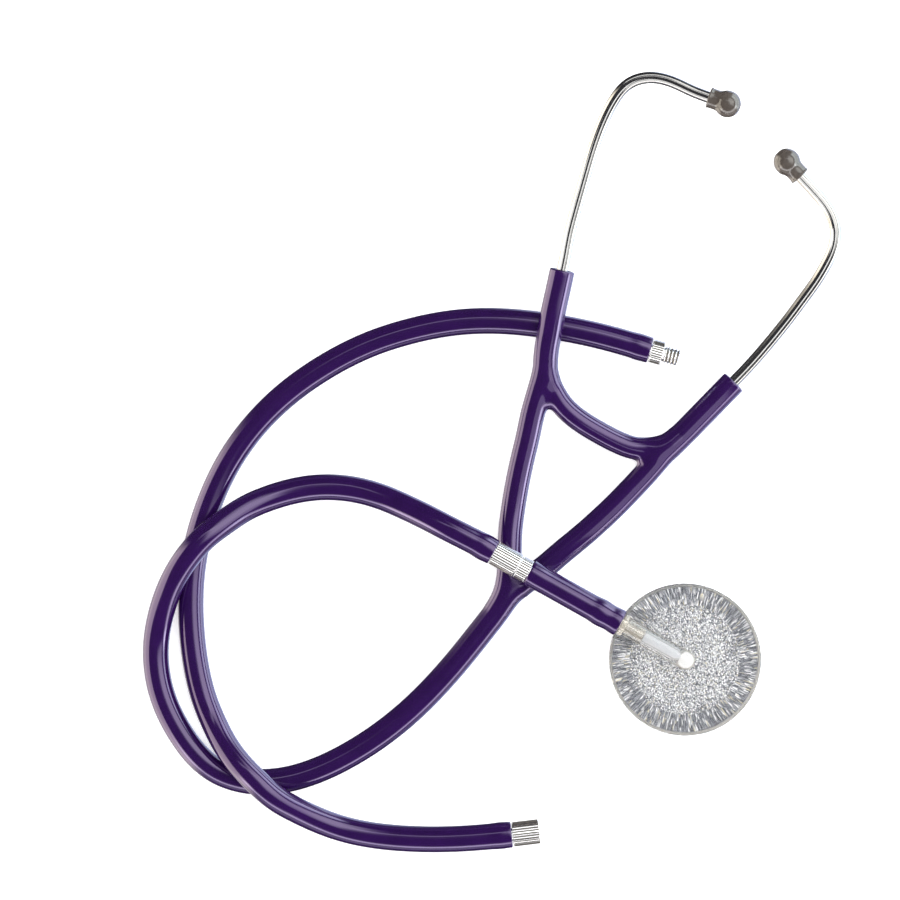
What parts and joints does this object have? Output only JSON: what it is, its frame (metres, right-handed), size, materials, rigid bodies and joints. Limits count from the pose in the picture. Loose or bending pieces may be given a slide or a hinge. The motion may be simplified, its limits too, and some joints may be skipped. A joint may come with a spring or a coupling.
{
  "type": "stethoscope",
  "caption": "Single-head stethoscope lying flat: looped hose, screw coupling, clear disc chestpiece, steel ear tubes and a separate extension hose.",
  "frame": {"origin": "centre of the diaphragm's outer face, on the surface that the stethoscope lies on", "axes": "+Z away from the surface that it lies on; +Y towards the ear tips; the chestpiece's stem leaves towards -X and +Y"},
  "size_m": [0.2793, 0.3114, 0.0319],
  "materials": {
    "purple_pvc": "glossy moulded PVC",
    "spring_steel": "rolled strip",
    "polished_steel": "polished",
    "bright_nickel": "bright, knurled",
    "grey_silicone": "translucent, satin",
    "black_rubber": "matte",
    "clear_acrylic": "clear, polished",
    "silver_glitter": "glitter film",
    "white_diaphragm": "satin sheet"
  },
  "bodies": {
    "tubing": {"yoke_tubing": "purple_pvc", "yoke_spring": "spring_steel", "main_tube": "purple_pvc", "coupling_sleeve": "bright_nickel", "extension_tube": "purple_pvc", "extension_plug": "bright_nickel", "extension_sleeve": "bright_nickel", "extension_washer": "black_rubber"},
    "left_socket": {"left_sleeve": "purple_pvc"},
    "left_ear": {"left_ear_tube": "polished_steel", "left_ear_nozzle": "polished_steel"},
    "left_tip": {"left_ear_tip": "grey_silicone"},
    "right_socket": {"right_sleeve": "purple_pvc"},
    "right_ear": {"right_ear_tube": "polished_steel", "right_ear_nozzle": "polished_steel"},
    "right_tip": {"right_ear_tip": "grey_silicone"},
    "coupling_seal": {"coupling_washer": "black_rubber"},
    "chest_half": {"coupling_plug": "bright_nickel", "chest_tube": "purple_pvc", "chest_stem": "clear_acrylic", "chest_body": "clear_acrylic", "glitter_disc": "silver_glitter"},
    "diaphragm_ring": {"retaining_ring": "clear_acrylic", "diaphragm": "white_diaphragm"}
  },
  "joints": [
    {"name": "left_spread", "type": "hinge", "parent": "tubing", "child": "left_socket", "pos_m": [-0.0555, 0.1235, 0.0143], "axis": [0, 0, 1], "range_deg": [-4, 28], "stiffness_Nm_per_rad": 0.5},
    {"name": "right_spread", "type": "hinge", "parent": "tubing", "child": "right_socket", "pos_m": [0.0006, 0.0916, 0.0049], "axis": [0, 0, -1], "range_deg": [-4, 28], "stiffness_Nm_per_rad": 0.5},
    {"name": "left_tube_turn", "type": "hinge", "parent": "left_socket", "child": "left_ear", "pos_m": [-0.0492, 0.1556, 0.0176], "axis": [-0.2083, -0.9751, -0.0757], "range_deg": [-6, 30]},
    {"name": "right_tube_turn", "type": "hinge", "parent": "right_socket", "child": "right_ear", "pos_m": [0.0196, 0.1111, 0.0049], "axis": [0.6979, 0.7162, 0.0037], "range_deg": [-6, 30]},
    {"name": "left_tip_pull", "type": "slide", "parent": "left_ear", "child": "left_tip", "axis": [0.938, -0.3352, 0.0887], "range_m": [0, 0.012]},
    {"name": "right_tip_pull", "type": "slide", "parent": "right_ear", "child": "right_tip", "axis": [-0.6796, 0.7286, 0.0855], "range_m": [0, 0.012]},
    {"name": "coupling_travel", "type": "slide", "parent": "tubing", "child": "coupling_seal", "axis": [0.872, -0.4895, 0], "range_m": [0, 0.0071]},
    {"name": "coupling_turn", "type": "hinge", "parent": "coupling_seal", "child": "chest_half", "pos_m": [-0.06679, 0.0375, 0.0156], "axis": [0.872, -0.4895, 0], "range_deg": [0, 1800]},
    {"name": "ring_release", "type": "slide", "parent": "chest_half", "child": "diaphragm_ring", "axis": [0, 0, -1], "range_m": [0, 0.004]}
  ],
  "couplings": [
    {"joint": "coupling_travel", "follows": "coupling_turn", "m_per_rad": 0.00022282}
  ]
}
